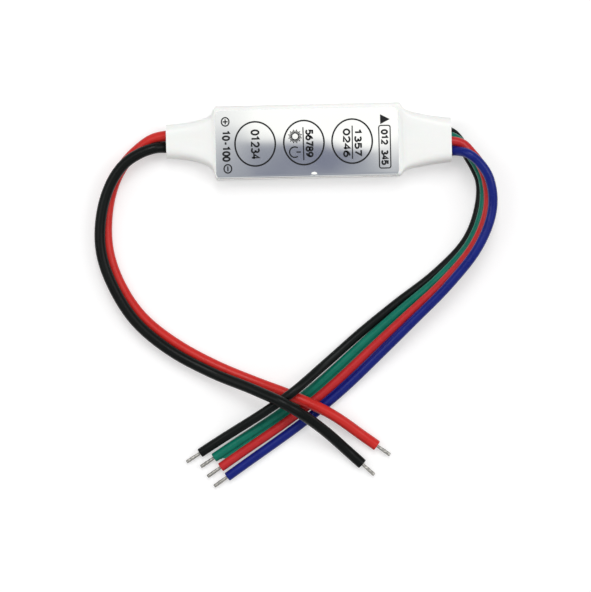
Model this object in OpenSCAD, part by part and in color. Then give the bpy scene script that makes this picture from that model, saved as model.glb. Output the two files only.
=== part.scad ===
// Three-key controller for a colour LED strip. A small board with three click keys lies in a
// white shrink sleeve whose ends are drawn in to necks. A mirror label covers the top. A
// two-wire supply lead leaves one neck and a four-wire output lead leaves the other.
// The underside of the sleeve lies on z = 0, +X points to the output lead, +Y to the back.

/* [Sleeve] */
// Wall of the shrunk sleeve
sleeve_wall = 0.35; // [0.25:0.05:0.5]
// Rounding of the sleeve along its body
sleeve_corner = 0.6; // [0.55:0.05:1]
// Length of the neck round the supply lead
supply_neck_len = 8.2; // [7:0.2:9]
// Width of the supply neck at its cut end
supply_neck_w = 5.7; // [5.5:0.1:7]
// Height of the supply neck at its cut end
supply_neck_h = 3.4; // [3.2:0.1:4]
// How far the supply neck lies off the middle line
supply_neck_side = 0.5; // [0.3:0.1:0.7]
// Length of the neck round the output lead
output_neck_len = 8.5; // [7.5:0.25:9]
// Width of the output neck at its cut end
output_neck_w = 7.4; // [7.4:0.1:9]
// Height of the output neck at its cut end
output_neck_h = 5.5; // [5.5:0.05:5.7]
// How far the output neck lies off the middle line
output_neck_side = -0.3; // [-0.4:0.1:0]
// Rounding of a neck at its cut end
neck_corner = 1.6; // [1.2:0.1:1.6]

/* [Label] */
// Distance from the label to the supply end of the sleeve's body
label_supply_gap = 0.25; // [0.2:0.05:1]
// Distance from the label to the output end of the sleeve's body
label_output_gap = 0.55; // [0.4:0.05:1]
// Distance from the label to the sleeve's front side
label_front_gap = 0.35; // [0.35:0.05:1]
// Distance from the label to the sleeve's back side
label_back_gap = 0.65; // [0.35:0.05:1]
// Thickness of the label film
label_t = 0.1; // [0.08:0.02:0.2]
// Corner radius of the label
label_corner = 1; // [0.5:0.1:2]

/* [Board] */
// Length of board between the first key's middle and the supply end
supply_end_len = 6.46; // [6.4:0.02:7]
// Length of board between the last key's middle and the output end
output_end_len = 7.66; // [7.5:0.02:8.2]
// Width of the board
board_w = 11.5; // [11:0.1:12]
// Thickness of the board
board_t = 0.8; // [0.6:0.1:1]
// Corner radius of the board
board_corner = 0.5; // [0.2:0.1:1]
// Gap between the board's edge and the sleeve
board_gap = 0.1; // [0.05:0.05:0.2]
// Thickness of the copper and tin on a pad
pad_t = 0.05; // [0.03:0.01:0.1]
// Length of a wire's pad
wire_pad_len = 2.2; // [2:0.1:2.4]
// Width of a wire's pad
wire_pad_w = 1.5; // [1.3:0.1:1.6]

/* [Keys] */
// Number of keys
key_count = 3; // [1:1:3]
// Distance from key to key
key_pitch = 8.2; // [7.5:0.1:8.2]
// Side of a key's square housing
key_side = 5.2; // [5:0.1:5.4]
// Height of a key's housing
key_housing_h = 1.1; // [1.1:0.05:1.3]
// Floor of a key's housing
key_floor_t = 0.4; // [0.3:0.05:0.45]
// Sheet thickness of a key's cover
key_cover_t = 0.15; // [0.1:0.01:0.2]
// Height of a key from the board to its plunger's top
key_h = 1.6; // [1.6:0.05:1.9]
// Diameter of a key's plunger
plunger_d = 2.4; // [2:0.1:2.6]
// Diameter of the plunger's flange
flange_d = 3.2; // [3.1:0.05:3.4]
// Travel of a key
key_travel = 0.25; // [0.15:0.05:0.25]
// Diameter of the snap dome at its rim
dome_d = 3.9; // [3.6:0.1:4]
// Height of the relaxed snap dome
dome_h = 0.3; // [0.26:0.01:0.3]
// Sheet thickness of the snap dome
dome_t = 0.06; // [0.05:0.01:0.08]
// Diameter of the well that holds the snap dome
key_well_d = 4.2; // [4.2:0.1:4.5]

/* [Parts under the board] */
// Length of the control chip
chip_len = 4.9; // [4.5:0.1:5]
// Width of the control chip without its legs
chip_w = 3.9; // [3.7:0.1:4]
// Height of the control chip
chip_h = 1.4; // [1.4:0.05:1.6]
// Width over the control chip's legs
chip_span = 6; // [5.8:0.1:6.4]
// Distance from leg to leg of the control chip
chip_pitch = 1.27; // [1.2:0.01:1.27]
// Length of a transistor
transistor_len = 2.9; // [2.7:0.1:3]
// Width of a transistor without its legs
transistor_w = 1.3; // [1.2:0.1:1.4]
// Height of a transistor
transistor_h = 1; // [0.9:0.05:1.2]
// Width over a transistor's legs
transistor_span = 2.4; // [2.3:0.1:2.6]
// Length of the voltage regulator
regulator_len = 4.5; // [4.3:0.1:4.6]
// Width of the voltage regulator without its legs
regulator_w = 2.5; // [2.4:0.1:2.6]
// Height of the voltage regulator
regulator_h = 1.4; // [1.3:0.05:1.4]
// Length of a chip resistor or capacitor
chip_part_len = 1.6; // [1.4:0.1:1.7]
// Width of a chip resistor or capacitor
chip_part_w = 0.8; // [0.7:0.05:0.9]
// Height of a chip resistor
resistor_h = 0.45; // [0.4:0.05:0.5]
// Height of a chip capacitor
capacitor_h = 0.8; // [0.6:0.05:0.9]
// Length of the input diode
diode_len = 2.7; // [2.5:0.1:2.8]
// Width of the input diode
diode_w = 1.6; // [1.5:0.05:1.7]
// Height of the input diode
diode_h = 1.1; // [1:0.05:1.2]

/* [Leads] */
// Outer diameter of a supply wire
supply_wire_d = 1.85; // [1.7:0.05:1.85]
// Outer diameter of an output wire
output_wire_d = 1.6; // [1.5:0.05:1.6]
// Diameter of the tinned conductor
core_d = 0.66; // [0.5:0.02:0.7]
// Length of a bare tinned end
tip_len = 2.7; // [2:0.1:3]
// Length of conductor soldered to a pad inside
solder_len = 1.9; // [1.6:0.1:2]
// Distance from wire to wire where the supply lead meets the board
supply_pad_pitch = 2.5; // [2.3:0.1:3]
// How far the supply pads lie off the middle line
supply_pad_side = 0.25; // [0:0.05:0.3]
// Distance from wire to wire where the output lead meets the board
output_pad_pitch = 2.2; // [2:0.05:2.3]
// How far the output pads lie off the middle line
output_pad_side = -0.2; // [-0.3:0.05:0]

/* [Hidden] */
$fn = 48;
// Overrun of every cut
cut = 0.1;

// Clearances
under_gap = 0.05;
key_gap = 0.05;
seat_gap = 0.02;
plunger_gap = 0.1;
part_gap = 0.1;
// Depth to which the sleeve's underside is pressed flat
flat_depth = 0.04;

// Levels, from the sleeve's underside up
board_z = sleeve_wall + under_gap + chip_h + part_gap;
board_top = board_z + board_t;
pad_top = board_top + pad_t;
body_t = board_top + key_h + key_gap + sleeve_wall;
body_w = board_w + 2 * (board_gap + sleeve_wall);
// Solder that runs under each conductor
solder_film = 0.05;
core_z = pad_top + solder_film + core_d / 2;

// Lengths that follow from the row of keys, and the ends of the sleeve's body and the board
board_len = supply_end_len + (key_count - 1) * key_pitch + output_end_len;
end_gap = sleeve_wall + board_gap + flat_depth;
sleeve_len = supply_neck_len + board_len + 2 * end_gap + output_neck_len;
body_x0 = supply_neck_len - sleeve_len / 2;
body_x1 = sleeve_len / 2 - output_neck_len;
board_x0 = body_x0 + end_gap;
board_x1 = body_x1 - end_gap;

// Shape of each neck: shares of its length from the cut end, with shares of the way
// from the neck's own section to the body's section
supply_neck_shares = [
    [0, 0], [0.16, 0.03], [0.32, 0.07], [0.48, 0.12], [0.62, 0.19], [0.76, 0.29],
    [0.87, 0.41], [0.94, 0.55], [0.98, 0.78], [1, 0.92], [1.03, 1]
];
output_neck_shares = [
    [0, 0], [0.16, 0.06], [0.32, 0.13], [0.48, 0.22], [0.64, 0.33], [0.78, 0.43],
    [0.89, 0.55], [0.95, 0.7], [0.99, 0.9], [1.02, 1]
];
// Steps round each rounded corner of a section
corner_steps = 5;

function mix(a, b, share) = a + (b - a) * share;
function unit(v) = v / norm(v);
function flat(lists) = [for (list = lists) each list];

// One closed section: a rounded rectangle across the sleeve, seen from the output end
function section(x, side, z, half_w, half_h, r) = [
    for (q = [0:3], k = [0:corner_steps])
        let (a = 90 * (q + k / corner_steps),
             sy = (q == 0 || q == 3) ? 1 : -1,
             sz = q < 2 ? 1 : -1)
        [x, side + sy * (half_w - r) + r * cos(a), z + sz * (half_h - r) + r * sin(a)]
];
section_points = 4 * (corner_steps + 1);

// Outer or inner section where the neck has gone the given share of the way to the body
function neck_section(x, share, side, w, h, inset) =
    let (lift = mix(max(body_t, h + 2 * flat_depth) / 2,
                    (body_t - (inset > 0 ? 0 : flat_depth)) / 2, share),
         body_half = inset > 0 ? body_t / 2 : (body_t + flat_depth) / 2)
    section(x, mix(side, 0, share), lift,
            mix(w, body_w, share) / 2 - inset,
            mix(h / 2, body_half, share) - inset,
            mix(neck_corner, sleeve_corner, share) - inset);

// The inner sections step inwards along the shoulders too, so that the wall stays even
function sleeve_sections(inset) = concat(
    [for (s = supply_neck_shares)
        neck_section(s[0] * supply_neck_len - sleeve_len / 2 + inset * s[1], s[1],
                     supply_neck_side, supply_neck_w, supply_neck_h, inset)],
    [for (k = [len(output_neck_shares) - 1:-1:0])
        let (s = output_neck_shares[k])
        neck_section(sleeve_len / 2 - s[0] * output_neck_len - inset * s[1], s[1],
                     output_neck_side, output_neck_w, output_neck_h, inset)]
);

// Triangles between ring a and the ring after it, each of n points
function band(a, b, n) = [
    for (j = [0:n - 1])
        let (k = (j + 1) % n)
        each [[a + j, a + k, b + k], [a + j, b + k, b + j]]
];

// Shrink sleeve: one skin of even wall, lofted outside and inside and open at both necks
module sleeve() {
    outer = sleeve_sections(0);
    inner = sleeve_sections(sleeve_wall);
    n = section_points;
    m = len(outer);
    skin = flat([for (k = [0:m - 2]) band((k + 1) * n, k * n, n)]);
    bore = flat([for (k = [0:m - 2]) band((m + k) * n, (m + k + 1) * n, n)]);
    rims = concat(band(0, m * n, n), band((2 * m - 1) * n, (m - 1) * n, n));
    color("white")
    difference() {
        polyhedron(flat(concat(outer, inner)), concat(skin, bore, rims), convexity = 6);
        translate([-sleeve_len, -body_w, -body_t])
            cube([2 * sleeve_len, 2 * body_w, body_t]);
    }
}

// Flat plate with round corners, its lower face at z = 0
module rounded_plate(l, w, r, t) {
    linear_extrude(t) {
        square([l - 2 * r, w], center = true);
        square([l, w - 2 * r], center = true);
        for (x = [-1, 1], y = [-1, 1])
            translate([x * (l / 2 - r), y * (w / 2 - r)]) circle(r);
    }
}

// Box centred in plan that stands on z = 0
module block(l, w, h) {
    translate([-l / 2, -w / 2, 0]) cube([l, w, h]);
}

module label() {
    x0 = body_x0 + label_supply_gap;
    x1 = body_x1 - label_output_gap;
    w = body_w - label_front_gap - label_back_gap;
    color("silver")
    translate([(x0 + x1) / 2, (label_front_gap - label_back_gap) / 2, body_t])
        rounded_plate(x1 - x0, w, label_corner, label_t);
}

module circuit_board() {
    color("darkgreen")
    translate([(board_x0 + board_x1) / 2, 0, board_z])
        rounded_plate(board_len, board_w, board_corner, board_t);
}

// Keys
function key_x(i) = board_x0 + supply_end_len + (i - 1) * key_pitch;
cover_side = key_side - 2 * seat_gap;
cover_top = key_housing_h + key_cover_t;
plunger_bottom = key_floor_t + dome_h + seat_gap;
flange_top = key_housing_h - seat_gap;
// Pegs that hold the cover, in the housing's corners
peg_d = 0.6;
peg_wall = 0.15;
peg_side = (key_side - peg_d) / 2 - 2 * seat_gap - peg_wall;
peg_head_h = 0.08;
// Tabs of the cover that clip over the housing's sides
tab_w = 1.6;
tab_len = 0.7;
// Legs of a key
leg_w = 0.6;
leg_t = 0.15;
leg_spread = 3.7;
leg_reach = 0.75;
leg_rise = 0.3;

module at_key(i) {
    translate([key_x(i), 0, board_top]) children();
}

module key_housing(i) {
    color("dimgray")
    at_key(i) {
        difference() {
            translate([0, 0, pad_t]) block(key_side, key_side, key_housing_h - pad_t);
            translate([0, 0, key_floor_t]) cylinder(d = key_well_d, h = key_housing_h);
        }
        for (x = [-1, 1], y = [-1, 1])
            translate([x * peg_side, y * peg_side, key_housing_h - cut])
                cylinder(d = peg_d, h = cut + key_cover_t + peg_head_h);
    }
}

module key_cover(i) {
    color("gainsboro")
    at_key(i)
    difference() {
        union() {
            translate([0, 0, key_housing_h])
                block(key_side + 2 * (seat_gap + key_cover_t), tab_w, key_cover_t);
            translate([0, 0, key_housing_h]) block(cover_side, cover_side, key_cover_t);
            for (x = [-1, 1])
                translate([x * (key_side + 2 * seat_gap + key_cover_t) / 2, 0, cover_top - tab_len])
                    block(key_cover_t, tab_w, tab_len);
        }
        translate([0, 0, key_floor_t])
            cylinder(d = plunger_d + 2 * plunger_gap, h = key_h);
        for (x = [-1, 1], y = [-1, 1])
            translate([x * peg_side, y * peg_side, key_floor_t])
                cylinder(d = peg_d + 2 * seat_gap, h = key_h);
    }
}

// Spring dome: a thin cap of a sphere whose rim stands on the housing's floor
module key_dome(i) {
    rim = dome_d / 2;
    ball = (rim * rim + dome_h * dome_h) / (2 * dome_h);
    color("goldenrod")
    at_key(i)
    translate([0, 0, key_floor_t])
    intersection() {
        translate([0, 0, dome_h - ball])
        difference() {
            sphere(ball);
            sphere(ball - dome_t);
        }
        cylinder(d = dome_d + cut, h = dome_h + cut);
    }
}

module key_plunger(i) {
    color("ivory")
    at_key(i) {
        translate([0, 0, plunger_bottom])
            cylinder(d = flange_d, h = flange_top - plunger_bottom);
        translate([0, 0, plunger_bottom]) cylinder(d = plunger_d, h = key_h - plunger_bottom);
    }
}

// Bent leg in the y-z plane that stands on z = 0 and ends the given way out
module bent_leg(w, t, rise, reach) {
    knee = reach * 2 / 5;
    rotate([90, 0, 90])
    translate([0, 0, -w / 2])
    linear_extrude(w)
    polygon([
        [0, rise], [knee, rise], [knee + t, 0], [reach, 0],
        [reach, t], [knee + 2 * t, t], [knee + t, rise + t], [0, rise + t]
    ]);
}

module key_legs(i) {
    color("silver")
    at_key(i)
    for (x = [-1, 1], turn = [0, 180])
        rotate([0, 0, turn])
        translate([x * leg_spread / 2, key_side / 2, pad_t])
            bent_leg(leg_w, leg_t, leg_rise, leg_reach);
}

// Parts under the board, set out along it from the supply end. Each place is a share of
// half the board's length and a share of half its width.
chip_place_share = [0.02, 0];
regulator_place_share = [-0.48, 0.1];
diode_place_share = [-0.78, 0.42];
transistor_place_shares = [[0.42, -0.62], [0.42, 0], [0.42, 0.62]];
resistor_place_shares = [
    [0.68, -0.62], [0.68, -0.2], [0.68, 0.2], [0.68, 0.62], [0.85, -0.4], [0.85, 0.4]
];
capacitor_place_shares = [[-0.78, -0.42], [-0.78, -0.02], [-0.48, -0.7]];
chip_leg_w = 0.4;
chip_leg_t = 0.18;
chip_leg_rise = 0.5;
transistor_leg_w = 0.4;
transistor_leg_t = 0.12;
transistor_leg_rise = 0.3;
regulator_leg_w = 0.45;
regulator_leg_t = 0.4;
regulator_leg_len = 1;
regulator_tab_w = 1.6;
cap_len = 0.3;
chamfer = 0.15;

// Stands a part on the board's underside, its top turned down
module under_board(place_share) {
    translate([
        (board_x0 + board_x1) / 2 + place_share[0] * board_len / 2,
        place_share[1] * board_w / 2,
        board_z
    ])
    rotate([180, 0, 0]) children();
}

// Moulded package with a bevelled top edge along both long sides
module package(l, w, h) {
    rotate([90, 0, 90])
    translate([0, 0, -l / 2])
    linear_extrude(l)
    polygon([
        [-w / 2, 0], [w / 2, 0], [w / 2, h / 2], [w / 2 - chamfer, h],
        [chamfer - w / 2, h], [-w / 2, h / 2]
    ]);
}

module control_chip() {
    color("black")
    under_board(chip_place_share)
        translate([0, 0, part_gap]) package(chip_len, chip_w, chip_h);
}

module control_chip_legs() {
    color("silver")
    under_board(chip_place_share)
    for (k = [-1.5:1.5], turn = [0, 180])
        rotate([0, 0, turn])
        translate([k * chip_pitch, chip_w / 2, 0])
            bent_leg(chip_leg_w, chip_leg_t, chip_leg_rise, (chip_span - chip_w) / 2);
}

module output_transistors() {
    color("black")
    for (place = transistor_place_shares)
        under_board(place)
            translate([0, 0, part_gap / 2]) package(transistor_len, transistor_w, transistor_h);
}

module transistor_legs() {
    reach = (transistor_span - transistor_w) / 2;
    color("silver")
    for (place = transistor_place_shares)
        under_board(place) {
            for (x = [-1, 1])
                translate([x * transistor_len / 3, transistor_w / 2, 0])
                    bent_leg(transistor_leg_w, transistor_leg_t, transistor_leg_rise, reach);
            rotate([0, 0, 180])
            translate([0, transistor_w / 2, 0])
                bent_leg(transistor_leg_w, transistor_leg_t, transistor_leg_rise, reach);
        }
}

module voltage_regulator() {
    color("black")
    under_board(regulator_place_share)
        translate([0, 0, regulator_leg_t])
            package(regulator_len, regulator_w, regulator_h - regulator_leg_t);
}

// Flat legs and the broad tab of the regulator, which run under its package
module regulator_legs() {
    color("silver")
    under_board(regulator_place_share) {
        for (k = [-1:1])
            translate([k * regulator_len / 3, -regulator_w / 2, 0])
                block(regulator_leg_w, 2 * regulator_leg_len, regulator_leg_t);
        translate([0, regulator_w / 2, 0])
            block(regulator_tab_w, 2 * regulator_leg_len, regulator_leg_t);
    }
}

// Body of a two-ended chip part between its end caps
module chip_body(l, w, h) {
    block(l - 2 * cap_len, w, h);
}

module chip_caps(l, w, h) {
    for (x = [-1, 1])
        translate([x * (l - cap_len) / 2, 0, 0]) block(cap_len, w, h);
}

module input_diode() {
    color("black")
    under_board(diode_place_share) chip_body(diode_len, diode_w, diode_h);
}

module diode_caps() {
    color("silver")
    under_board(diode_place_share) chip_caps(diode_len, diode_w / 2, diode_h / 2);
}

module resistors() {
    color("black")
    for (place = resistor_place_shares)
        under_board(place) chip_body(chip_part_len, chip_part_w, resistor_h);
}

module resistor_caps() {
    color("silver")
    for (place = resistor_place_shares)
        under_board(place) chip_caps(chip_part_len, chip_part_w, resistor_h);
}

module capacitors() {
    color("tan")
    for (place = capacitor_place_shares)
        under_board(place) chip_body(chip_part_len, chip_part_w, capacitor_h);
}

module capacitor_caps() {
    color("silver")
    for (place = capacitor_place_shares)
        under_board(place) chip_caps(chip_part_len, chip_part_w, capacitor_h);
}

// Routes of both leads as they lie. Each row is a point of the lead's middle in plan, the
// lean of its ribbon of wires in degrees, the distance from wire to wire and how far the
// ribbon is folded behind its last two wires. The first row lies at the board's end.
insulation_gap = 0.34;
supply_route = [
    [board_x0 - insulation_gap, supply_pad_side, 0, supply_pad_pitch, 0],
    [-24, 0.5, 0, 2, 0], [-26.25, 0.2, 35, 2, 0], [-28.75, -1, 63, 1.95, 0],
    [-31.25, -3, 85, 1.95, 0], [-33.5, -6.5, 102, 1.9, 0], [-35, -12, 118, 1.9, 0],
    [-35, -18, 128, 1.9, 0], [-33, -24, 128, 1.9, 0], [-29.5, -29.5, 133, 1.9, 0],
    [-24, -34.25, 139, 1.9, 0], [-17, -38.25, 135, 1.9, 0], [-10, -41.25, 130, 1.9, 0],
    [-4.25, -43.75, 180, 1.65, 0], [2, -47.5, 180, 2.9, 0], [9.25, -53.5, 180, 4, 0]
];
output_route = [
    [board_x1 + insulation_gap, output_pad_side, 180, output_pad_pitch, 0],
    [24.3, -0.4, 182, 1.7, -64], [25.9, -1.4, 156, 1.7, -64], [27.05, -2.65, 112, 1.81, -30],
    [28.5, -4.55, 94, 1.78, -18], [29.7, -7.3, 76, 1.76, 0], [29.75, -12, 66, 1.65, 0],
    [27.5, -17.75, 65, 1.65, 0], [22.5, -23.5, 56, 1.65, 0], [15.5, -29.5, 38, 1.7, 0],
    [10, -34.25, 22, 1.72, 0], [3.5, -40, 4, 1.75, 0], [-2.75, -45, 0, 1.75, 0],
    [-16.75, -54.25, 0, 1.98, 0]
];
// How high each wire is held up at each point of its route
supply_lift_red = [2.2, 1.4, 1, 0.5, 0.2, 0, 0, 0, 0, 0, 0, 0.1, 0.7, 1.85, 1.8, 0];
supply_lift_black = [2.2, 1.4, 1, 0.5, 0.2, 0, 0, 0, 0, 0, 0, 0.3, 2.1, 5.75, 2.7, 0];
output_lift_black = [2.33, 0.42, 0.09, 0.13, 0.19, 0, 0, 0, 0, 0, 0, 1.1, 3.95, 0];
output_lift_others = [2.33, 0.42, 0.09, 0.13, 0.19, 0, 0, 0, 0, 0, 0, 0, 0, 0];
// How much further the black output wire runs than its neighbours
black_overhang = 1.5;
supply_wires = 2;
output_wires = 4;
wire_sides = 8;

// Direction square to the route in plan, to the left of its run
function plan(row) = [row[0], row[1]];
function across(route, k, start) =
    let (t = k == 0 ? start : unit(plan(route[min(k + 1, len(route) - 1)]) - plan(route[k - 1])))
    [-t[1], t[0]];

// A wire's end lies level, in the direction of its last stretch
function end_direction(path) =
    let (a = path[len(path) - 2], b = path[len(path) - 1])
    unit([b[0] - a[0], b[1] - a[1], 0]);

// Places of n wires across their ribbon, each a step aside and a step up from the one before
function ribbon(row, n, i = 0, place = [0, 0]) =
    let (lean = row[2] + (i < n - 2 ? row[4] : 0))
    i == n - 1 ? [place]
    : concat([place], ribbon(row, n, i + 1, place + row[3] * [cos(lean), sin(lean)]));

// Middle line of wire i of n: its place in the leaning ribbon, raised by its own lifts,
// with its last point moved on by the given overhang
function wire_path(route, start, lifts, i, n, d, overhang = 0) =
    let (path = [
        for (k = [0:len(route) - 1])
            let (places = ribbon(route[k], n),
                 aside = [for (p = places) p[0]],
                 up = [for (p = places) p[1]],
                 middle = aside * [for (p = places) 1 / n],
                 q = plan(route[k]) + across(route, k, start) * (aside[i] - middle))
            [q[0], q[1], d / 2 + lifts[k] + up[i] - min(up)]
    ],
         last = len(path) - 1)
    [for (k = [0:last]) path[k] + (k == last ? overhang : 0) * end_direction(path)];

function path_direction(path, k, start) =
    k == 0 ? start
    : k == len(path) - 1 ? end_direction(path)
    : unit(unit(path[k + 1] - path[k]) + unit(path[k] - path[k - 1]));

function wire_ring(p, t, r) =
    let (u = unit(cross([0, 0, 1], t)), v = cross(t, u))
    [for (j = [0:wire_sides - 1])
        let (a = 360 * j / wire_sides)
        p + r * (cos(a) * u + sin(a) * v)];

// Insulated wire swept along its path, its first face square to the given start
module wire(path, start, d) {
    n = wire_sides;
    m = len(path);
    rings = [for (k = [0:m - 1]) wire_ring(path[k], path_direction(path, k, start), d / 2)];
    first = [for (j = [0:n - 1]) j];
    last = [for (j = [n - 1:-1:0]) (m - 1) * n + j];
    skin = flat([for (k = [0:m - 2]) band((k + 1) * n, k * n, n)]);
    polyhedron(flat(rings), concat(skin, [first, last]), convexity = 8);
}

to_supply = [-1, 0, 0];
to_output = [1, 0, 0];
function supply_path(lifts, i) =
    wire_path(supply_route, to_supply, lifts, i, supply_wires, supply_wire_d);
function output_path(lifts, i, overhang = 0) =
    wire_path(output_route, to_output, lifts, i, output_wires, output_wire_d, overhang);
supply_path_red = supply_path(supply_lift_red, 0);
supply_path_black = supply_path(supply_lift_black, 1);
output_path_black = output_path(output_lift_black, 0, black_overhang);
output_path_green = output_path(output_lift_others, 1);
output_path_red = output_path(output_lift_others, 2);
output_path_blue = output_path(output_lift_others, 3);

module supply_wire(path) { wire(path, to_supply, supply_wire_d); }
module output_wire(path) { wire(path, to_output, output_wire_d); }

// Bare tinned conductor that stands out of the wire's end
module wire_tip(path) {
    t = end_direction(path);
    color("lightgray")
    translate(path[len(path) - 1])
    rotate([0, 90, atan2(t[1], t[0])])
        cylinder(d = core_d, h = tip_len);
}

// Sideways places of the pads at both ends of the board
supply_pad_ys = [
    for (i = [0:supply_wires - 1])
        supply_pad_side + (i - (supply_wires - 1) / 2) * supply_pad_pitch
];
output_pad_ys = [
    for (i = [0:output_wires - 1])
        output_pad_side + (i - (output_wires - 1) / 2) * output_pad_pitch
];

// Puts a piece of each kind at every wire's pad, its +X turned to the board's middle
module at_pads() {
    for (y = supply_pad_ys) translate([board_x0, y, 0]) children();
    for (y = output_pad_ys) translate([board_x1, y, 0]) mirror([1, 0, 0]) children();
}

module wire_cores() {
    color("lightgray")
    at_pads()
    translate([-insulation_gap, 0, core_z])
    rotate([0, 90, 0])
        cylinder(d = core_d, h = insulation_gap + solder_len);
}

module key_pads(i) {
    for (x = [-1, 1], y = [-1, 1])
        translate([
            key_x(i) + x * leg_spread / 2,
            y * (key_side / 2 + leg_reach / 2),
            board_top
        ])
            block(leg_w + 2 * part_gap, leg_reach + part_gap, pad_t);
}

module copper_pads() {
    color("orange") {
        at_pads()
            translate([board_gap + wire_pad_len / 2, 0, board_top])
                block(wire_pad_len, wire_pad_w, pad_t);
        for (i = [1:key_count]) key_pads(i);
    }
}

// Bead of solder round each conductor: a cone with a round top that stands on the pad
bead_cover = 0.15;
bead_h = core_d + bead_cover;
bead_r = 0.7;
bead_top_r = 0.45;

module solder_joints() {
    color("silver")
    at_pads()
    difference() {
        translate([solder_len / 2, 0, pad_top])
        rotate_extrude() {
            polygon([
                [0, 0], [bead_r, 0], [bead_top_r, bead_h - bead_top_r], [0, bead_h - bead_top_r]
            ]);
            intersection() {
                translate([0, bead_h - bead_top_r]) circle(bead_top_r);
                translate([0, bead_h - bead_top_r]) square(bead_top_r);
            }
        }
        translate([0, 0, core_z])
        rotate([0, 90, 0])
            cylinder(d = core_d, h = 4 * solder_len, center = true);
    }
}

sleeve();
label();
circuit_board();
copper_pads();
key_housing(1);  // key_1_housing
key_cover(1);  // key_1_cover
key_dome(1);  // key_1_dome
key_plunger(1);  // key_1_plunger
key_legs(1);  // key_1_legs
key_housing(2);  // key_2_housing
key_cover(2);  // key_2_cover
key_dome(2);  // key_2_dome
key_plunger(2);  // key_2_plunger
key_legs(2);  // key_2_legs
key_housing(3);  // key_3_housing
key_cover(3);  // key_3_cover
key_dome(3);  // key_3_dome
key_plunger(3);  // key_3_plunger
key_legs(3);  // key_3_legs
control_chip();
control_chip_legs();
output_transistors();
transistor_legs();
voltage_regulator();
regulator_legs();
input_diode();
diode_caps();
resistors();
resistor_caps();
capacitors();
capacitor_caps();
wire_cores();
solder_joints();
color("crimson") supply_wire(supply_path_red);  // supply_wire_red
color("#222222") supply_wire(supply_path_black);  // supply_wire_black
color("#222222") output_wire(output_path_black);  // output_wire_black
color("seagreen") output_wire(output_path_green);  // output_wire_green
color("crimson") output_wire(output_path_red);  // output_wire_red
color("mediumblue") output_wire(output_path_blue);  // output_wire_blue
wire_tip(supply_path_red);  // supply_tip_red
wire_tip(supply_path_black);  // supply_tip_black
wire_tip(output_path_black);  // output_tip_black
wire_tip(output_path_green);  // output_tip_green
wire_tip(output_path_red);  // output_tip_red
wire_tip(output_path_blue);  // output_tip_blue
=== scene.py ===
import math

import bmesh
import bpy
from mathutils import Euler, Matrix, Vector
from mathutils.geometry import interpolate_bezier


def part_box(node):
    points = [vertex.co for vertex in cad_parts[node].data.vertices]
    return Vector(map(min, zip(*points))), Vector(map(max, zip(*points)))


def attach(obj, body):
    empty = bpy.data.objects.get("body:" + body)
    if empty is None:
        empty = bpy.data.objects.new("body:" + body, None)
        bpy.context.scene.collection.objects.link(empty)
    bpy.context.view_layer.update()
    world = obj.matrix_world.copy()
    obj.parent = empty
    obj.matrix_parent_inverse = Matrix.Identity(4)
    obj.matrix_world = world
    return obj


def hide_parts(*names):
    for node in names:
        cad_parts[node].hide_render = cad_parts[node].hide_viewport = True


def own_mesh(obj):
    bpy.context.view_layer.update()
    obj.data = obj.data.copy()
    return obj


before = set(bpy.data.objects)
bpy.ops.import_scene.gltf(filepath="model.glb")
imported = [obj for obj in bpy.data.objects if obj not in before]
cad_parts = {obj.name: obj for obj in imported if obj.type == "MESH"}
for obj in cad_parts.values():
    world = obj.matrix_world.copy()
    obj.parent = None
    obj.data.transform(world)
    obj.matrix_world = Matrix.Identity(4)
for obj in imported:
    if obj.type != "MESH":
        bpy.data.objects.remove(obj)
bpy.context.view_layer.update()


# Circuit board: a thin plate of glass cloth in epoxy, routed out of a panel. Green mask
# covers its copper tracks, and the routed edges show the tan laminate.
class Finish:
    """A value, colour or vector on its way through the nodes of a finish."""

    def __init__(self, tree, socket):
        self.tree = tree
        self.socket = socket

    def node(self, kind, settings=(), inputs=(), out=0):
        """Adds one node: its settings first, then the values or links of its sockets."""
        made = self.tree.nodes.new(kind)
        for name, value in dict(settings).items():
            setattr(made, name, value)
        for name, value in dict(inputs).items():
            if isinstance(value, Finish):
                self.tree.links.new(value.socket, made.inputs[name])
            else:
                made.inputs[name].default_value = value
        return Finish(self.tree, made.outputs[out])

    def math(self, operation, *others):
        """This value with others in a Math node."""
        return self.node(
            "ShaderNodeMath", {"operation": operation}, enumerate((self, *others)))

    def __add__(self, other):
        return self.math("ADD", other)

    __radd__ = __add__

    def __sub__(self, other):
        return self.math("SUBTRACT", other)

    def __rsub__(self, other):
        return self * -1 + other

    def __mul__(self, other):
        return self.math("MULTIPLY", other)

    __rmul__ = __mul__

    def __truediv__(self, other):
        return self.math("DIVIDE", other)

    def part(self, axis):
        """One coordinate of this vector."""
        return self.node("ShaderNodeSeparateXYZ", (), {0: self}, "XYZ".index(axis))

    def grain(self, scale, detail=2.0, rough=0.5):
        """Soft noise between 0 and 1, with so many bumps to the metre."""
        return self.node("ShaderNodeTexNoise", (), {
            "Vector": self, "Scale": scale, "Detail": detail, "Roughness": rough})

    def stretched(self, x, y, z):
        """These coordinates, scaled apart along each axis."""
        return self.node(
            "ShaderNodeVectorMath", {"operation": "MULTIPLY"}, {0: self, 1: (x, y, z)})

    def between(self, low, high):
        """A colour that this value leads from low to high."""
        return self.node("ShaderNodeMix", {"data_type": "RGBA"}, {
            "Factor": self, 6: low, 7: high}, 2)

    def ramp(self, low, high):
        """0 below low, 1 above high and soft between them."""
        return self.node("ShaderNodeMapRange", {"interpolation_type": "SMOOTHSTEP"}, {
            "Value": self, "From Min": low, "From Max": high})

    def bump(self, distance, strength=1.0):
        """The surface's direction where this value raises it by up to the distance."""
        return self.node("ShaderNodeBump", (), {
            "Height": self, "Strength": strength, "Distance": distance})


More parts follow.
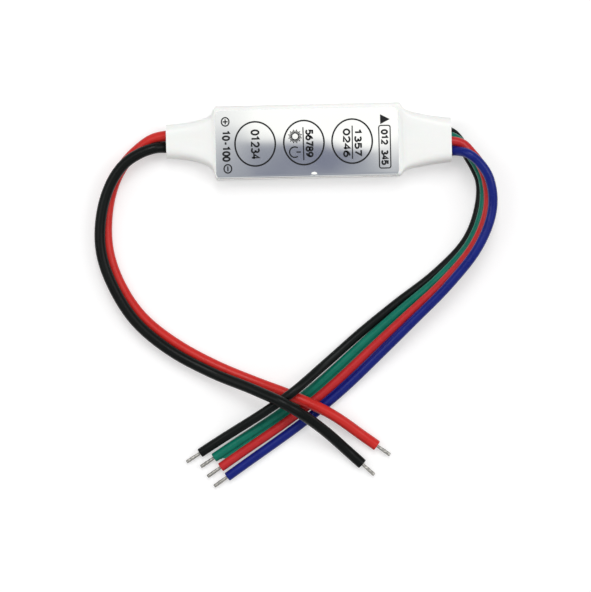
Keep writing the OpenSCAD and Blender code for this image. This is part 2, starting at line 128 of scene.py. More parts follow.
def printed(red, green, blue):
    """A colour as it reads on screen, from 0 to 255, turned into light."""
    return tuple(
        (c / 255 / 12.92 if c <= 10 else ((c / 255 + 0.055) / 1.055) ** 2.4)
        for c in (red, green, blue)) + (1.0,)


def new_finish(name, steady=()):
    """A new material: itself, the coordinates on the piece and its surface's sockets."""
    material = bpy.data.materials.new(name)
    material.use_nodes = True
    tree = material.node_tree
    sockets = tree.nodes["Principled BSDF"].inputs
    for socket, value in dict(steady).items():
        sockets[socket].default_value = value
    place = tree.nodes.new("ShaderNodeTexCoord")
    return material, Finish(tree, place.outputs["Object"]), sockets


def lay(sockets, **values):
    """Feeds sockets of the surface, such as Base_Color, with finishes."""
    for name, value in values.items():
        value.tree.links.new(value.socket, sockets[name.replace("_", " ")])


def coat(material, *nodes):
    """Gives modelled pieces that keep their own shape a material."""
    for name in nodes:
        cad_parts[name].data.materials.clear()
        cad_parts[name].data.materials.append(material)


track_pitch = 0.0009
green_mask, place, surface = new_finish("green_mask", {"IOR": 1.52})
across = (place.part("Y") / track_pitch).math("FRACT") - 0.5
runs = place.stretched(160, 1100, 1).grain(1, 0)
tracks = (0.17 - across.math("ABSOLUTE")).ramp(0, 0.04) * (runs - 0.47).ramp(0, 0.02)
weave = (place.part("X") * 9000).math("SINE") * (place.part("Y") * 9000).math("SINE")
side = place.node("ShaderNodeNewGeometry", out=1).part("Z").math("ABSOLUTE").ramp(0.6, 0.8)
mask = (tracks * 0.7 + weave * 0.06 + 0.06).between(printed(16, 74, 44), printed(34, 112, 66))
lay(surface, Base_Color=side.between(printed(176, 160, 112), mask),
    Roughness=0.3 + place.grain(1500) * 0.15,
    Normal=(tracks + weave * 0.1).bump(0.00003))
coat(green_mask, "circuit_board")

# Bright tin: the copper pads, legs, end caps and solder of the board are all tinned, so that
# they solder well. Drawn metal shows fine lines and dipped metal small soft waves.
tinned, place, surface = new_finish("tinned", {"Metallic": 1.0})
waves = place.grain(2600, 3)
lay(surface, Base_Color=waves.between(printed(172, 168, 158), printed(216, 214, 206)),
    Roughness=0.2 + waves * 0.22, Normal=place.grain(5200, 2).bump(0.00002, 0.6))
coat(tinned, "copper_pads", "wire_cores", "solder_joints", "control_chip_legs",
     "transistor_legs", "regulator_legs", "diode_caps", "resistor_caps", "capacitor_caps",
     "key_1_legs", "key_2_legs", "key_3_legs")

# Click keys: a moulded housing with four pegs, a stamped cover that clips over them, a
# dome of spring steel and a nylon plunger, three in a row on the board. The dome snaps flat
# under the plunger.
mould, place, surface = new_finish("black_mould")
speck = place.grain(9000, 4, 0.7)
lay(surface, Base_Color=speck.between(printed(26, 26, 28), printed(52, 52, 54)),
    Roughness=0.5 + speck * 0.3, Normal=speck.bump(0.00002))
coat(mould, "key_1_housing", "key_2_housing", "key_3_housing")

cover_steel, place, surface = new_finish("cover_steel", {"Metallic": 1.0})
rolled = place.stretched(400, 9000, 9000).grain(1, 3)
lay(surface, Base_Color=rolled.between(printed(158, 158, 156), printed(206, 206, 204)),
    Roughness=0.28 + rolled * 0.2, Normal=rolled.bump(0.00001))
coat(cover_steel, "key_1_cover", "key_2_cover", "key_3_cover")

dome_steel, place, surface = new_finish("dome_steel", {"Metallic": 1.0})
spun = place.grain(3200, 3)
lay(surface, Base_Color=spun.between(printed(178, 166, 140), printed(216, 206, 182)),
    Roughness=0.16 + spun * 0.16)
dome_t = 0.00006
dome_steps = 12
dome_sides = 64
crease = 50


def stand(name, data):
    """Sets a mesh, lamp or camera in the scene."""
    thing = bpy.data.objects.new(name, data)
    bpy.context.scene.collection.objects.link(thing)
    return thing


def formed(name, shape, material, sharp):
    """A piece of one material from a shape, smooth but for edges over the sharp angle."""
    bmesh.ops.recalc_face_normals(shape, faces=shape.faces)
    mesh = bpy.data.meshes.new(name)
    shape.to_mesh(mesh)
    shape.free()
    mesh.shade_smooth()
    mesh.set_sharp_from_angle(angle=math.radians(sharp))
    mesh.materials.append(material)
    return stand(name, mesh)


def arch(ball, low):
    """Points from the top of a ball down to a level that lies low over its middle."""
    reach = math.acos(low / ball)
    turns = [reach * k / dome_steps for k in range(dome_steps + 1)]
    return [(ball * math.sin(turn), ball * math.cos(turn) - low) for turn in turns]


for key in (1, 2, 3):
    (x0, y0, dome_floor), (x1, y1, crown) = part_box(f"key_{key}_dome")
    rim, dome_h = (x1 - x0) / 2, crown - dome_floor
    ball = (rim * rim + dome_h * dome_h) / (2 * dome_h)
    foot = ((x0 + x1) / 2, (y0 + y1) / 2, dome_floor)
    shape = bmesh.new()
    rings = []
    for x, z in arch(ball, ball - dome_h) + arch(ball - dome_t, ball - dome_h)[::-1]:
        rings.append([
            shape.verts.new((
                foot[0] + x * math.cos(turn), foot[1] + x * math.sin(turn), foot[2] + z))
            for turn in (math.tau * k / dome_sides for k in range(dome_sides if x else 1))])
    for a, b in zip(rings, rings[1:]):
        for k in range(dome_sides):
            face = [ring[n % len(ring)] for ring, n in (
                (a, k), (b, k), (b, (k + 1) % dome_sides), (a, (k + 1) % dome_sides))]
            shape.faces.new(tuple(dict.fromkeys(face)))
    snap_dome = formed(f"key_{key}_snap_dome", shape, dome_steel, crease)
    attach(snap_dome, "root")
    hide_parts(f"key_{key}_dome")
    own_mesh(snap_dome)

nylon, place, surface = new_finish("cream_nylon", {"Subsurface Weight": 0.1})
flow = place.grain(1400, 3)
lay(surface, Base_Color=flow.between(printed(226, 218, 196), printed(240, 234, 218)),
    Roughness=0.42 + flow * 0.16, Normal=place.grain(7000, 2).bump(0.00001))
coat(nylon, "key_1_plunger", "key_2_plunger", "key_3_plunger")

# Parts under the board: packages of black epoxy with bevelled tops, chip resistors with a
# black glaze and capacitors of fired ceramic, all soldered down on their legs or caps.
coat(mould, "control_chip", "output_transistors", "voltage_regulator", "input_diode")

glaze, place, surface = new_finish("resistor_glaze")
flow = place.grain(4200, 2)
lay(surface, Base_Color=flow.between(printed(24, 24, 28), printed(44, 44, 50)),
    Roughness=0.22 + flow * 0.2)
coat(glaze, "resistors")

ceramic, place, surface = new_finish("fired_ceramic")
body = place.grain(8000, 4, 0.6)
lay(surface, Base_Color=body.between(printed(158, 128, 92), printed(190, 162, 122)),
    Roughness=0.5 + body * 0.25, Normal=body.bump(0.00001))
coat(ceramic, "capacitors")

# Insulated wires: smooth PVC drawn over a stranded core, two in the supply lead and four in
# the output lead, bonded side by side by thin webs. Each lead turns on edge in its bend and
# lies on the table, where the two cross and their ends are pulled apart.
supply_wire_d = 0.00185
output_wire_d = 0.0016
supply_route = [
    (-0.01575, 0.00025, 0, 0.0025, 0), (-0.024, 0.0005, 0, 0.002, 0),
    (-0.02625, 0.0002, 35, 0.002, 0), (-0.02875, -0.001, 63, 0.00195, 0),
    (-0.03125, -0.003, 85, 0.00195, 0), (-0.0335, -0.0065, 102, 0.0019, 0),
    (-0.035, -0.012, 118, 0.0019, 0), (-0.035, -0.018, 128, 0.0019, 0),
    (-0.033, -0.024, 128, 0.0019, 0), (-0.0295, -0.0295, 133, 0.0019, 0),
    (-0.024, -0.03425, 139, 0.0019, 0), (-0.017, -0.03825, 135, 0.0019, 0),
    (-0.01, -0.04125, 130, 0.0019, 0), (-0.00425, -0.04375, 180, 0.00165, 0),
    (0.002, -0.0475, 180, 0.0029, 0), (0.00925, -0.0535, 180, 0.004, 0),
]
output_route = [
    (0.01545, -0.0002, 180, 0.0022, 0), (0.0243, -0.0004, 182, 0.0017, -64),
    (0.0259, -0.0014, 156, 0.0017, -64), (0.02705, -0.00265, 112, 0.00181, -30),
    (0.0285, -0.00455, 94, 0.00178, -18), (0.0297, -0.0073, 76, 0.00176, 0),
    (0.02975, -0.012, 66, 0.00165, 0), (0.0275, -0.01775, 65, 0.00165, 0),
    (0.0225, -0.0235, 56, 0.00165, 0), (0.0155, -0.0295, 38, 0.0017, 0),
    (0.01, -0.03425, 22, 0.00172, 0), (0.0035, -0.04, 4, 0.00175, 0),
    (-0.00275, -0.045, 0, 0.00175, 0), (-0.01675, -0.05425, 0, 0.00198, 0),
]
supply_lift_red = (
    0.0022, 0.0014, 0.001, 0.0005, 0.0002, 0, 0, 0, 0, 0, 0, 0.0001, 0.0007, 0.00185, 0.0018, 0)
supply_lift_black = (
    0.0022, 0.0014, 0.001, 0.0005, 0.0002, 0, 0, 0, 0, 0, 0, 0.0003, 0.0021, 0.00575, 0.0027, 0)
output_lift_black = (
    0.00233, 0.00042, 0.00009, 0.00013, 0.00019, 0, 0, 0, 0, 0, 0, 0.0011, 0.00395, 0)
output_lift_others = (
    0.00233, 0.00042, 0.00009, 0.00013, 0.00019, 0, 0, 0, 0, 0, 0, 0, 0, 0)
black_overhang = 0.0015
end_run = 0.0025
cut_rounding = 0.00014
cut_curve = (0, 0.13, 0.5, 1)
wire_sides = 24
row_steps = 6


def lead_wire(route, lifts, place, count, thick, overhang=0.0):
    """The points that one wire of a lead follows: its place in the leaning ribbon, lifted.

    A row of the route holds the ribbon's middle, its lean in degrees, the pitch of its wires
    and by how much all but the last of them fold further."""
    points = []
    for k, (x, y, lean, pitch, fold) in enumerate(route):
        before, after = route[max(k - 1, 0)], route[min(k + 1, len(route) - 1)]
        way = Vector((after[0] - before[0], after[1] - before[1])) if k else Vector((x, 0))
        way.normalize()
        across = [Vector((0, 0))]
        for step in range(count - 1):
            turn = math.radians(lean + (fold if step < count - 2 else 0))
            across.append(across[-1] + pitch * Vector((math.cos(turn), math.sin(turn))))
        aside = across[place].x - sum(spot.x for spot in across) / count
        lowest = min(spot.y for spot in across)
        points.append(Vector((
            x - way.y * aside, y + way.x * aside,
            thick / 2 + lifts[k] + across[place].y - lowest)))
    way = points[-1] - points[-2]
    way.z = 0
    way.normalize()
    points[-1] += way * overhang
    points.insert(-1, points[-1] - way * end_run)
    points[-2].z = points[-1].z
    return points, way


def eased(points, lowest):
    """The smooth curve through the points, in short pieces, nowhere under the lowest level."""
    line = [points[0].copy()]
    ways = []
    for k, point in enumerate(points):
        before = points[k] - points[k - 1] if k else points[1] - points[0]
        after = points[k + 1] - points[k] if k + 1 < len(points) else before
        way = (before.normalized() + after.normalized()).normalized()
        ways.append(way)
    for k in range(len(points) - 1):
        a, b = points[k], points[k + 1]
        reach = (b - a).length / 3
        line += interpolate_bezier(
            a, a + ways[k] * reach, b - ways[k + 1] * reach, b, row_steps + 1)[1:]
    for point in line:
        point.z = max(point.z, lowest)
    return line


def skin(name, sections, material, capped=True):
    """A piece whose surface runs through closed sections, each with as many points."""
    shape = bmesh.new()
    rings = [[shape.verts.new(point) for point in section] for section in sections]
    count = len(rings[0])
    for a, b in zip(rings, rings[1:]):
        for k in range(count):
            shape.faces.new((b[k], b[(k + 1) % count], a[(k + 1) % count], a[k]))
    if capped:
        shape.faces.new(rings[0])
        shape.faces.new(rings[-1][::-1])
    piece = formed(name, shape, material, crease)
    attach(piece, "root")
    return piece


def swept(line, radius, sides, lobes=0.0, twist=0.0):
    """Sections along a line, round or with lobes; radius gives the size of each by number."""
    sections = []
    run = 0.0
    up = Vector((0, 0, 1))
    for k, point in enumerate(line):
        way = (line[min(k + 1, len(line) - 1)] - line[max(k - 1, 0)]).normalized()
        out = way.cross(up).normalized()
        over = out.cross(way)
        run += (point - line[k - 1]).length if k else 0.0
        sections.append([
            point + (out * math.cos(turn) + over * math.sin(turn))
            * radius(k) * (1 - lobes * abs(math.sin(3 * (turn - twist * run))))
            for turn in (math.tau * j / sides for j in range(sides))])
    return sections


def insulation(name, bright, deep, shine):
    """Extruded PVC: an even gloss skin, clouded a little, with a faint drawn grain."""
    material, place, surface = new_finish(name, {"IOR": 1.5, "Specular IOR Level": shine})
    cloud = place.grain(420, 3)
    draw = place.grain(6000, 2)
    lay(surface, Base_Color=cloud.between(printed(*deep), printed(*bright)),
        Roughness=0.22 + cloud * 0.12, Normal=(draw * 0.4 + cloud).bump(0.00004, 0.35))
    return material


insulations = {
    "supply_red": insulation("supply_red_pvc", (208, 45, 38), (190, 35, 32), 0.2),
    "supply_black": insulation("supply_black_pvc", (20, 23, 22), (13, 15, 14), 0.1),
    "output_black": insulation("output_black_pvc", (19, 23, 22), (12, 15, 14), 0.1),
    "output_green": insulation("output_green_pvc", (0, 120, 99), (0, 97, 79), 0.2),
    # The output red is a little bluer than the supply red and painted darker: the darkening is
    # painted shade on the output lead.
    "output_red": insulation("output_red_pvc", (198, 44, 46), (176, 33, 36), 0.2),
    "output_blue": insulation("output_blue_pvc", (14, 33, 128), (8, 21, 104), 0.2),
}
leads = (
    ("supply", supply_route, supply_wire_d, (
        ("red", supply_lift_red, 0.0), ("black", supply_lift_black, 0.0))),
    ("output", output_route, output_wire_d, (
        ("black", output_lift_black, black_overhang), ("green", output_lift_others, 0.0),
        ("red", output_lift_others, 0.0), ("blue", output_lift_others, 0.0))),
)
wires = []
# The finish of the web beside each wire, and the point of the route where the web stops. Each
# web takes the darker finish of its two wires, a painted shade along the seam between them.
web_ends = {
    "supply_black": ("supply_black", 7), "output_green": ("output_black", 10),
    "output_red": ("output_green", 13.85), "output_blue": ("output_blue", 12)}
web_t = 0.0004
web_cut = 3
web_least = 0.45
for lead, route, thick, members in leads:
    beside = None
    for place, (colour, lifts, overhang) in enumerate(members):
        points, way = lead_wire(route, lifts, place, len(members), thick, overhang)
        line = eased(points, thick / 2)
        end = line[-1]
        rounding = [end - way * cut_rounding * back for back in reversed(cut_curve)]
        full = len(line) - 1

        def radius(k):
            return thick / 2 - cut_rounding * cut_curve[max(k - full, 0)]

        wire = skin(
            f"{lead}_wire_{colour}_insulation",
            swept(line[:-1] + rounding, radius, wire_sides),
            insulations[f"{lead}_{colour}"])
        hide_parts(f"{lead}_wire_{colour}")
        webs = []
        if beside:
            # The darker wire's finish on the web is painted shade in the seam.
            finish, last_row = web_ends[f"{lead}_{colour}"]
            last = round(last_row * row_steps)
            seam = []
            for k in range(row_steps, last):
                a, b = beside[k], line[k]
                square = (b - a).cross(line[k + 1] - b).normalized() * web_t / 2
                b = a.lerp(b, max(min((last - 1 - k) / web_cut, 1), web_least))
                seam.append([a + square, b + square, b - square, a - square])
            webs.append(skin(
                f"{lead}_web_{colour}", seam, insulations[finish]))
        beside = line
        length = sum((b - a).length for a, b in zip(line, line[1:]))
        wires.append((wire, points, length, thick, end, way, f"{lead}_tip_{colour}", webs))

# Bare ends: the strands twisted together and dipped in tin, a little thinner where they
# leave the insulation and thicker at the cut.
tip_d = 0.00066
tip_len = 0.0027
tip_steps = 40
tip_hidden = 2
tip_start = 0.84
tip_cut = 0.8
strand_sides = 30
strand_depth = 0.13
strand_twist = math.tau / 0.0048
dipped, place, surface = new_finish("dipped_strands", {"Metallic": 1.0})
waves = place.grain(1800, 3)
lay(surface, Base_Color=waves.between(printed(128, 125, 118), printed(190, 188, 182)),
    Roughness=0.26 + waves * 0.2, Normal=place.grain(3200, 2).bump(0.00005, 0.7))


def tip_radius(k):
    """A bare end's radius at one of its sections, from inside the insulation to the cut."""
    share = max(k - tip_hidden, 0) / tip_steps
    swell = tip_start + (1 - tip_start) * min(share * 2, 1)
    return tip_d / 2 * (swell if share < 1 else tip_cut)


for wire, points, length, thick, end, way, tip, webs in wires:
    line = [end + way * tip_len * (k / tip_steps) for k in range(-tip_hidden, tip_steps + 1)]
    strands = skin(
        f"{tip}_strands", swept(line, tip_radius, strand_sides, strand_depth, strand_twist),
        dipped)
    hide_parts(tip)

# Shrink sleeve: a white PVC tube shrunk on with hot air. It lies tight over the board and
# its keys, and draws in to a neck round each lead, where its cut edge shows the wall.
sleeve_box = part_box("sleeve")
sleeve_x0, sleeve_x1 = sleeve_box[0][0], sleeve_box[1][0]
sleeve_wall = 0.00035
sleeve_corner = 0.0006
neck_corner = 0.0016
body_w = sleeve_box[1][1] - sleeve_box[0][1]
body_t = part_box("label")[0][2]
flat_depth = 0.00004
necks = {
    "supply": (sleeve_x0, 0.0082, 0.0005, 0.0057, 0.0034, (
        (0, 0), (0.16, 0.03), (0.32, 0.07), (0.48, 0.12), (0.62, 0.19), (0.76, 0.29),
        (0.87, 0.41), (0.94, 0.55), (0.98, 0.78), (1, 0.92), (1.03, 1))),
    "output": (sleeve_x1, -0.0085, -0.0003, 0.0074, 0.0055, (
        (0, 0), (0.16, 0.06), (0.32, 0.13), (0.48, 0.22), (0.64, 0.33), (0.78, 0.43),
        (0.89, 0.55), (0.95, 0.7), (0.99, 0.9), (1.02, 1))),
}


def blended(a, b, share):
    """A size that a share leads from a to b."""
    return a + (b - a) * share


def sleeve_section(x, side, middle, half_w, half_h, corner, steps=7, flats=7):
    """A rounded rectangle across the sleeve, its flat sides in several short pieces."""
    corners = []
    for quarter in range(4):
        sy = 1 if quarter in (0, 3) else -1
        sz = 1 if quarter < 2 else -1
        corners.append([
            Vector((
                x,
                side + sy * (half_w - corner) + corner * math.cos(turn),
                middle + sz * (half_h - corner) + corner * math.sin(turn)))
            for turn in (math.pi / 2 * (quarter + k / steps) for k in range(steps + 1))])
    points = []
    for k, arc in enumerate(corners):
        follow = corners[(k + 1) % 4][0]
        points += arc
        points += [arc[-1].lerp(follow, j / flats) for j in range(1, flats)]
    return points


def neck_sections(neck, inset=0.0, steps=4):
    """The sections of one neck, from its cut end to the body."""
    start, length, side, wide, high, shares = neck
    rows = [
        (blended(a[0], b[0], j / steps), blended(a[1], b[1], j / steps))
        for a, b in zip(shares, shares[1:]) for j in range(steps)]
    return [
        sleeve_section(
            start + run * length + math.copysign(inset * share, length),
            blended(side, 0, share),
            blended(max(body_t, high + 2 * flat_depth) / 2, body_t / 2, share),
            blended(wide, body_w, share) / 2 - inset,
            blended(high, body_t, share) / 2 - inset,
            blended(neck_corner, sleeve_corner, share) - inset)
        for run, share in (*rows, shares[-1])]


outer = neck_sections(necks["supply"]) + neck_sections(necks["output"])[::-1]
inner = neck_sections(necks["supply"], sleeve_wall)
inner += neck_sections(necks["output"], sleeve_wall)[::-1]
white_pvc, place, surface = new_finish("white_pvc", {
    "IOR": 1.5, "Subsurface Weight": 0.08, "Subsurface Scale": 0.0008})
pull = place.stretched(1, 2.4, 2.4).grain(160, 2)
peel = place.grain(2400, 2)
lay(surface, Base_Color=pull.between(printed(237, 237, 234), printed(242, 242, 240)),
    Roughness=0.34 + peel * 0.12, Normal=(pull + peel * 0.06).bump(0.00012, 0.5))
sleeve = skin(
    "shrink_sleeve", outer + inner[::-1] + outer[:1], white_pvc,
    capped=False)
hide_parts("sleeve")

# Mirror label: thin polyester film with a bright metal back, cut with round corners and
# stuck flat on the sleeve. Its front edge is pressed down over the sleeve's round corner,
# where a small pucker is left.
film_t = 0.0001
film_x = (-0.0157, 0.01515)
film_back = 0.0054
film_corner = 0.001
film_bend = math.radians(62)
film_curl = 0.00034
front_flat = -0.0058
flat_rows = 40
curl_rows = 12
film_columns = 48
film_crease = 40
film_path = [
    (blended(film_back, front_flat, k / flat_rows), body_t, 0.0)
    for k in range(flat_rows + 1)]
film_path += [
    (front_flat - film_curl * math.sin(turn), body_t - film_curl * (1 - math.cos(turn)), turn)
    for turn in (film_bend * k / curl_rows for k in range(1, curl_rows + 1))]
film_run = [0.0]
for a, b in zip(film_path, film_path[1:]):
    film_run.append(film_run[-1] + math.hypot(b[0] - a[0], b[1] - a[1]))
film = bmesh.new()
film_rows = []
for (y, z, turn), run in zip(film_path, film_run):
    edge = min(run, film_run[-1] - run)
    cut = film_corner - math.sqrt(max(film_corner ** 2 - max(film_corner - edge, 0) ** 2, 0))
    row = []
    for level in (0.0, film_t):
        row.append([
            film.verts.new((
                blended(film_x[0] + cut, film_x[1] - cut, k / film_columns),
                y - level * math.sin(turn), z + level * math.cos(turn)))
            for k in range(film_columns + 1)])
    film_rows.append(row)
for a, b in zip(film_rows, film_rows[1:]):
    for level in (0, 1):
        for k in range(film_columns):
            film.faces.new((a[level][k], a[level][k + 1], b[level][k + 1], b[level][k]))
    for k in (0, film_columns):
        film.faces.new((a[0][k], a[1][k], b[1][k], b[0][k]))
for row in (film_rows[0], film_rows[-1]):
    for k in range(film_columns):
        film.faces.new((row[0][k], row[0][k + 1], row[1][k + 1], row[1][k]))
mirror, place, surface = new_finish("mirror_film", {"Metallic": 1.0})
slack = place.stretched(1, 1.2, 1).grain(100, 0)
slack_h = 0.00005
pucker_at = (0.00084, -0.00604, 0)
pucker_reach = 0.00084
pucker_h = 0.000016
pucker = 1 - place.node("ShaderNodeVectorMath", {"operation": "DISTANCE"}, {
    0: place.stretched(1, 1, 0), 1: pucker_at}, 1).ramp(0, pucker_reach)
lay(surface, Base_Color=slack.between(printed(241, 242, 238), printed(246, 247, 244)),
    Roughness=0.02 + place.grain(700) * 0.01,
    Normal=(slack + pucker * (pucker_h / slack_h)).bump(slack_h))
label_film = formed("mirror_label_film", film, mirror, film_crease)
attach(label_film, "root")
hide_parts("label")

# Print: black ink screened on the film, with a ring over each key, thin rules, sun and
# power signs, the marks of both poles and plain digits that run across the label.
ink_level = body_t + film_t + 0.00001
print_shift = -0.00027
line_w = 0.00028
digit_line_w = 0.00031
rule_w = 0.0002
sign_w = 0.00023
pole_w = 0.00022
sharpest = 0.55
ink = bmesh.new()


def stroke(points, width=line_w, closed=False):
    """Lays a line of ink through the points."""
    sides = []
    count = len(points)
    for k, point in enumerate(points):
        before = points[k - 1] if closed or k else point
        after = points[(k + 1) % count] if closed or k + 1 < count else point
        to, on = Vector(point) - Vector(before), Vector(after) - Vector(point)
        way = (to.normalized() + on.normalized()).normalized()
        slant = max(way.dot(on.normalized() if on.length else way), sharpest)
        out = Vector((-way.y, way.x)) * width / 2 / slant
        sides.append([
            ink.verts.new((point[0] + out.x * s, point[1] + out.y * s, ink_level))
            for s in (1, -1)])
    for k in range(count if closed else count - 1):
        a, b = sides[k], sides[(k + 1) % count]
        ink.faces.new((a[0], a[1], b[1], b[0]))


def arc(middle, radii, start=0.0, stop=360.0, steps=72):
    """Points on an oval round a middle, from one angle to another."""
    turns = [math.radians(start + (stop - start) * k / steps) for k in range(steps + 1)]
    return [
        (middle[0] + radii[0] * math.cos(turn), middle[1] + radii[1] * math.sin(turn))
        for turn in turns]


def ring(middle, radii, width=line_w):
    """Lays a closed oval line of ink round a middle."""
    stroke(arc(middle, radii)[:-1], width, closed=True)


def bow(x, y, radii, start, stop):
    """Part of an oval in a digit's own box, from one angle to another."""
    return arc((x, y), radii, start, stop, 14)


digit_w = 0.6
digit_pitch = 0.82
digit_lines = {
    "0": [bow(0.3, 0.5, (0.3, 0.5), 0, 360)],
    "1": [[(0.04, 0.78), (0.34, 1), (0.34, 0)]],
    "2": [bow(0.3, 0.7, (0.29, 0.3), 165, -35) + [(0.02, 0), (0.6, 0)]],
    "3": [bow(0.28, 0.76, (0.25, 0.24), 150, -90), bow(0.28, 0.26, (0.31, 0.26), 90, -150)],
    "4": [[(0.46, 0), (0.46, 1), (0.01, 0.3), (0.62, 0.3)]],
    "5": [[(0.55, 1), (0.1, 1), (0.05, 0.54)] + bow(0.28, 0.32, (0.31, 0.32), 125, -150)],
    "6": [bow(0.3, 0.31, (0.29, 0.31), 0, 360), bow(0.66, 0.33, (0.65, 0.67), 180, 105)],
    "7": [[(0.01, 1), (0.6, 1), (0.2, 0)]],
    "8": [bow(0.3, 0.76, (0.24, 0.24), 0, 360), bow(0.3, 0.26, (0.3, 0.26), 0, 360)],
    "9": [bow(0.3, 0.69, (0.29, 0.31), 0, 360), bow(-0.06, 0.67, (0.65, 0.67), 0, -75)],
    "-": [[(0.12, 0.42), (0.5, 0.42)]],
    " ": [],
}


def digits(text, middle, height, run, width=digit_line_w):
    """Prints digits that read down the label, fitted to their height and run."""
    pitch = (run - width) / (len(text) - 1 + digit_w / digit_pitch)
    for k, digit in enumerate(text):
        for line in digit_lines[digit]:
            placed = [
                (middle[0] + (y - 0.5) * (height - width),
                 middle[1] + (run - width) / 2 - (k + x / digit_pitch) * pitch)
                for x, y in line]
            looped = (Vector(line[0]) - Vector(line[-1])).length < 0.001
            stroke(placed[:-1] if looped else placed, width, closed=looped)


for x, y in ((-0.00903, -0.00007), (-0.0008, -0.00003), (0.00735, 0.00004)):
    ring((x, y), (0.0034, 0.00373))
digits("01234", (-0.00902, -0.00017), 0.00153, 0.0051)
stroke([(-0.00091, 0.00257), (-0.00087, -0.00301)], rule_w)
digits("56789", (0.00013, -0.00016), 0.00136, 0.00478)
stroke([(0.0074, 0.00266), (0.00735, -0.00295)], rule_w)
digits("1357", (0.00835, -0.00017), 0.00128, 0.00466)
digits("0246", (0.00643, -0.00024), 0.00131, 0.0049)

sun = Vector((-0.00226, 0.00105))
sun_r = 0.00058
sun_w = 0.00018
rays = 24
ray_start = 0.00068
ray_ends = (0.001, 0.00118)
ray_w = 0.00016
ring(sun, (sun_r, sun_r), sun_w)
for k in range(rays):
    way = Vector((math.cos(math.tau * k / rays), math.sin(math.tau * k / rays)))
    stroke([sun + way * ray_start, sun + way * ray_ends[k % 2]], ray_w)
power = (-0.00237, -0.00161)
power_r = 0.00088
stroke(arc(power, (power_r, power_r), 55, 305, 48), sign_w)
stroke([(-0.00209, -0.0016), (-0.00135, -0.00162)], sign_w)

pole_arm = 0.00042
for pole, (x, y) in (("plus", (-0.01401, 0.00376)), ("minus", (-0.01373, -0.00418))):
    ring((x, y), (0.00064, 0.00071), pole_w)
    stroke([(x, y - pole_arm), (x, y + pole_arm)], pole_w)
    if pole == "plus":
        stroke([(x - pole_arm, y), (x + pole_arm, y)], pole_w)
digits("10-100", (-0.01393, -0.00033), 0.00141, 0.00536)

box_middle = Vector((0.01284, -0.00102))
box_half = Vector((0.00096, 0.0036))
box_corner = 0.00035
outline = []
for k, (sx, sy) in enumerate(((1, 1), (-1, 1), (-1, -1), (1, -1))):
    corner = (
        box_middle.x + sx * (box_half.x - box_corner),
        box_middle.y + sy * (box_half.y - box_corner))
    outline += arc(corner, (box_corner, box_corner), 90 * k, 90 * k + 90, 6)
stroke(outline, rule_w, closed=True)
digits("012 345", (0.01282, -0.0011), 0.00124, 0.00609)
arrowhead = ((0.01214, 0.00448), (0.01215, 0.00279), (0.01379, 0.00362))
ink.faces.new([ink.verts.new((x, y, ink_level)) for x, y in arrowhead])

bmesh.ops.translate(ink, verts=ink.verts, vec=(0, print_shift, 0))
black_ink, place, surface = new_finish("black_ink", {"IOR": 1.5, "Specular IOR Level": 0.15})
screen = place.grain(5200, 3)
lay(surface, Base_Color=screen.between(printed(12, 14, 16), printed(26, 28, 30)),
    Roughness=0.34 + screen * 0.2)
print_mesh = bpy.data.meshes.new("label_print")
ink.to_mesh(print_mesh)
ink.free()
print_mesh.materials.append(black_ink)
label_print = stand("label_print", print_mesh)
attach(label_print, "root")

# Camera: a long lens that looks straight down on the controller and its crossed leads. The
# view is turned by a little over a degree, so that the body's output end lies higher.
camera_height = 0.45
picture_width = 0.10047
film_width_mm = 36
picture_middle = Vector((-0.00279, -0.02616, 0.0024))
body_turn = math.radians(1.27)
camera = stand("camera", bpy.data.cameras.new("camera"))
camera.data.sensor_width = film_width_mm
camera.data.lens = film_width_mm * camera_height / picture_width
camera.location = picture_middle + Vector((0, 0, camera_height))
camera.rotation_euler = Euler((0, 0, -body_turn))
bpy.context.scene.camera = camera

# Table: a wide sheet of white paper, laid flat under the controller. It looks as white as
# the room behind it and keeps the soft shadow of the sleeve and the wires.
floor_size = 3.0
floor_drop = 0.00002
white_glow = 0.4


def background_ray(finish):
    """1 for a ray that shows the background, straight or in a shine, and 0 for light."""
    straight, shine, glass = (
        finish.node("ShaderNodeLightPath", out=f"Is {name} Ray")
        for name in ("Camera", "Glossy", "Transmission"))
    return straight.math("MAXIMUM", shine).math("MAXIMUM", glass)


floor_mesh = bpy.data.meshes.new("floor")
half = floor_size / 2
floor_mesh.from_pydata(
    [(-half, -half, 0), (half, -half, 0), (half, half, 0), (-half, half, 0)], [], [(0, 1, 2, 3)])
floor = stand("floor", floor_mesh)
floor.location.z = -floor_drop
paper, place, surface = new_finish("white_paper", {"Roughness": 0.9, "IOR": 1.3})
pulp = place.grain(900, 3)
lay(surface, Base_Color=pulp.between((0.65, 0.65, 0.65, 1), (0.67, 0.67, 0.67, 1)),
    Emission_Color=background_ray(place).between((0, 0, 0, 1), (1, 1, 1, 1)))
surface["Emission Strength"].default_value = white_glow
floor_mesh.materials.append(paper)

# Studio: a white room and three soft boxes. A card hangs high over the table, pale at its
# back and grey at its front, and a grey wall stands all round. Both show only in shiny
# surfaces, such as the mirror label, and take no part in the light.
world = bpy.data.worlds.new("studio")
bpy.context.scene.world = world
world.use_nodes = True
room_light = 0.5
strength = room_light + background_ray(Finish(world.node_tree, None)) * (1 - room_light)
room = world.node_tree.nodes["Background"].inputs
room["Color"].default_value = (1, 1, 1, 1)
lay(room, Strength=strength)

box_size = (0.3, 0.5)
soft_boxes = (
    ("left_box", (-0.5, 0.1, 0.6), 0.9),
    ("right_box", (0.5, 0.1, 0.6), 1.3),
    ("over_box", (0.02, 0.42, 0.85), 2.9),
)
for name, spot, watts in soft_boxes:
    soft_box = bpy.data.lights.new(name, "AREA")
    soft_box.shape = "RECTANGLE"
    soft_box.size, soft_box.size_y = box_size
    soft_box.energy = watts
    lamp = stand(name, soft_box)
    lamp.location = spot
    lamp.rotation_euler = (-lamp.location).to_track_quat("-Z", "Y").to_euler()


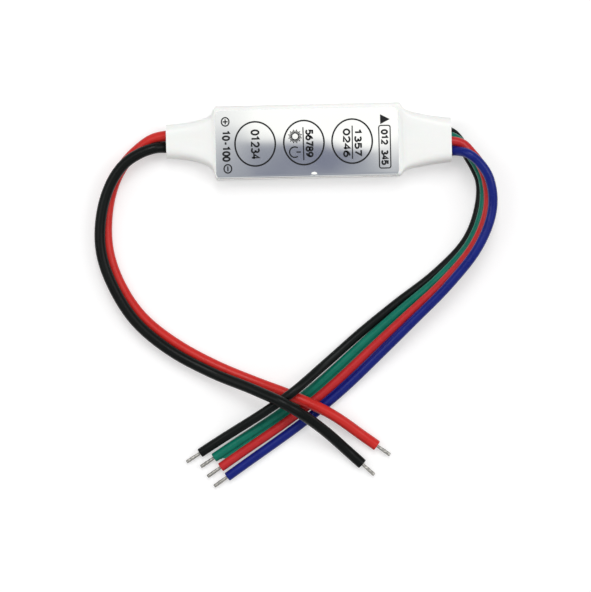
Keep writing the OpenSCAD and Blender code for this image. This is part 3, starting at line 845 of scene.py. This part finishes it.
def shine_only(name, mesh, paint):
    """A card that only reflections show, so that it throws neither light nor shadow."""
    card = stand(name, mesh)
    mesh.materials.append(paint)
    card.visible_camera = False
    card.visible_diffuse = False
    card.visible_shadow = False
    card.visible_transmission = False


card_height = 1.0
card_side = 0.6
card_back = 0.16
card_middle = 0.004
grey_edge = 0.0575
edge_fall = 0.003
fall_from = -0.034
card_mesh = bpy.data.meshes.new("two_tone_card")
card_mesh.from_pydata([
    (-card_side, -card_side, card_height), (card_side, -card_side, card_height),
    (card_side, card_back, card_height), (-card_side, card_back, card_height)],
    [], [(0, 1, 2, 3)])
card_paint, place, surface = new_finish("card_tones", {
    "Base Color": (0, 0, 0, 1), "Emission Strength": 1.1})
clouds = place.stretched(22, 30, 1).grain(1, 1)
inner = (place.part("X") - fall_from).ramp(-0.004, 0.014)
off_middle = (place.part("X") - card_middle).math("ABSOLUTE")
front = (grey_edge - place.part("Y")).ramp(0.006, 0.028)
shade = off_middle.ramp(0.012, 0.06) * 0.5 + front * 0.3 + (clouds - 0.5) * 0.9
behind = place.part("Y") - grey_edge - (1 - inner) * edge_fall
ends = off_middle.ramp(0.026, 0.05)
pale = behind.ramp(-0.003, 0.004) * (1 - ends) + behind.ramp(-0.023, 0.009) * ends
grey = shade.between(printed(98, 103, 127), printed(192, 195, 198))
lay(surface, Emission_Color=pale.between(
    grey, inner.between(printed(233, 234, 236), (1, 1, 1, 1))))
shine_only("two_tone_card", card_mesh, card_paint)

wall_radius = 1.6
wall_levels = (0.12, 1.9)
wall_sides = 48
wall_mesh = bpy.data.meshes.new("grey_wall")
wall_turns = [math.tau * k / wall_sides for k in range(wall_sides)]
wall_mesh.from_pydata(
    [(wall_radius * math.cos(t), wall_radius * math.sin(t), z)
     for z in wall_levels for t in wall_turns], [],
    [(k, (k + 1) % wall_sides, (k + 1) % wall_sides + wall_sides, k + wall_sides)
     for k in range(wall_sides)])
wall_paint, place, surface = new_finish("wall_grey", {
    "Base Color": (0, 0, 0, 1), "Emission Strength": 1.0})
height = place.part("Z").ramp(*wall_levels)
lay(surface, Emission_Color=height.between(printed(128, 132, 142), printed(226, 227, 229)))
shine_only("grey_wall", wall_mesh, wall_paint)

bpy.context.scene.view_settings.view_transform = "Standard"
